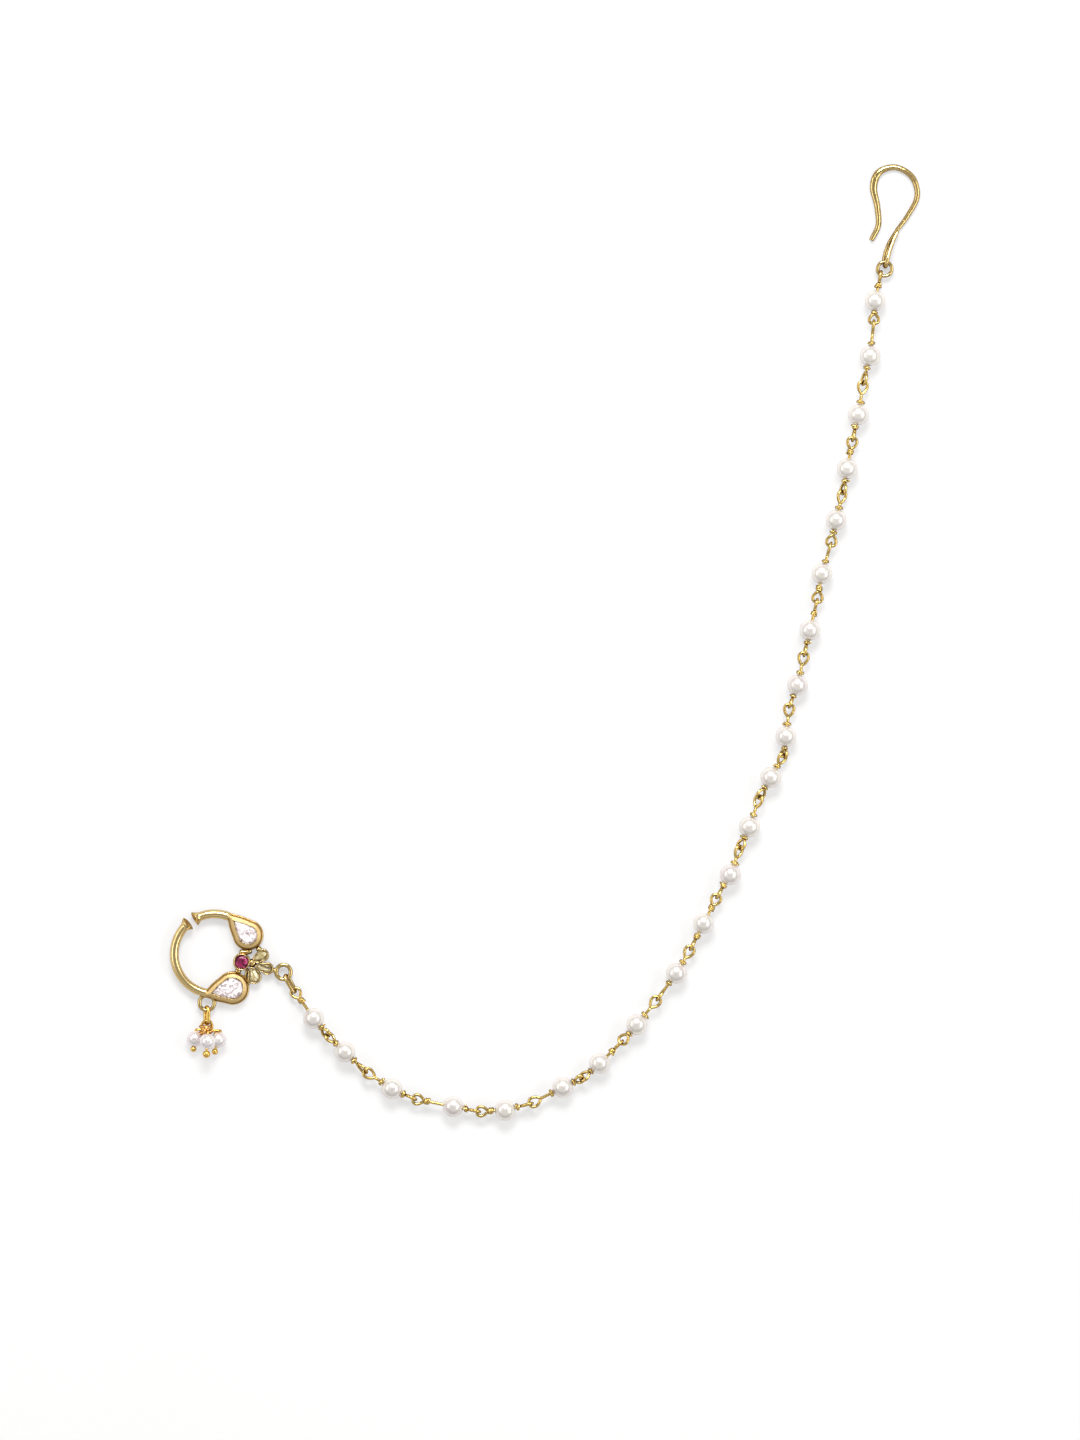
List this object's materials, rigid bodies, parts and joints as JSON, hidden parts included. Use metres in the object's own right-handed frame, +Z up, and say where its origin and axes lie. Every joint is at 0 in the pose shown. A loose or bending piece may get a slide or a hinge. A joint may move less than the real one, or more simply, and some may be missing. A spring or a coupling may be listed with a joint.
{
  "type": "nath nose ring with pearl chain and hair hook",
  "caption": "Open gold nose ring with a jewelled side and a pearl drop, joined by a long chain of wired pearls to a hair hook.",
  "frame": {"origin": "middle of the whole lying piece's box, on the surface that it lies on", "axes": "+Z up from the table; +Y from the nose ring towards the hair hook, along the box's longest side; +X to the right"},
  "size_m": [0.1424, 0.1814, 0.0054],
  "materials": {
    "gold_plated_brass": "polished",
    "warm_gold_plating": "polished",
    "imitation_pearl": "pearly gloss",
    "clear_crystal": "faceted",
    "ruby_glass": "faceted",
    "champagne_glass": "faceted"
  },
  "bodies": {
    "root": {"nath_frame": "gold_plated_brass", "chain_oval_link": "gold_plated_brass", "hook_ring": "gold_plated_brass", "hair_hook": "gold_plated_brass", "link_wire_01": "gold_plated_brass", "link_wire_02": "gold_plated_brass", "link_wire_03": "gold_plated_brass", "link_wire_04": "gold_plated_brass", "link_wire_05": "gold_plated_brass", "link_wire_06": "gold_plated_brass", "link_wire_07": "gold_plated_brass", "link_wire_08": "gold_plated_brass", "link_wire_09": "gold_plated_brass", "link_wire_10": "gold_plated_brass", "link_wire_11": "gold_plated_brass", "link_wire_12": "gold_plated_brass", "link_wire_13": "gold_plated_brass", "link_wire_14": "gold_plated_brass", "link_wire_15": "gold_plated_brass", "link_wire_16": "gold_plated_brass", "link_wire_17": "gold_plated_brass", "link_wire_18": "gold_plated_brass", "link_wire_19": "gold_plated_brass", "link_wire_20": "gold_plated_brass", "link_wire_21": "gold_plated_brass", "link_wire_22": "gold_plated_brass", "drop_oval_link": "warm_gold_plating", "drop_ring": "warm_gold_plating", "drop_pins": "warm_gold_plating", "pearl_01": "imitation_pearl", "pearl_02": "imitation_pearl", "pearl_03": "imitation_pearl", "pearl_04": "imitation_pearl", "pearl_05": "imitation_pearl", "pearl_06": "imitation_pearl", "pearl_07": "imitation_pearl", "pearl_08": "imitation_pearl", "pearl_09": "imitation_pearl", "pearl_10": "imitation_pearl", "pearl_11": "imitation_pearl", "pearl_12": "imitation_pearl", "pearl_13": "imitation_pearl", "pearl_14": "imitation_pearl", "pearl_15": "imitation_pearl", "pearl_16": "imitation_pearl", "pearl_17": "imitation_pearl", "pearl_18": "imitation_pearl", "pearl_19": "imitation_pearl", "pearl_20": "imitation_pearl", "pearl_21": "imitation_pearl", "pearl_22": "imitation_pearl", "drop_pearl_left": "imitation_pearl", "drop_pearl_middle": "imitation_pearl", "drop_pearl_right": "imitation_pearl", "pear_stone_upper": "clear_crystal", "pear_stone_lower": "clear_crystal", "ruby": "ruby_glass", "petal_stone_upper": "champagne_glass", "petal_stone_middle": "champagne_glass", "petal_stone_lower": "champagne_glass"}
  },
  "joints": []
}
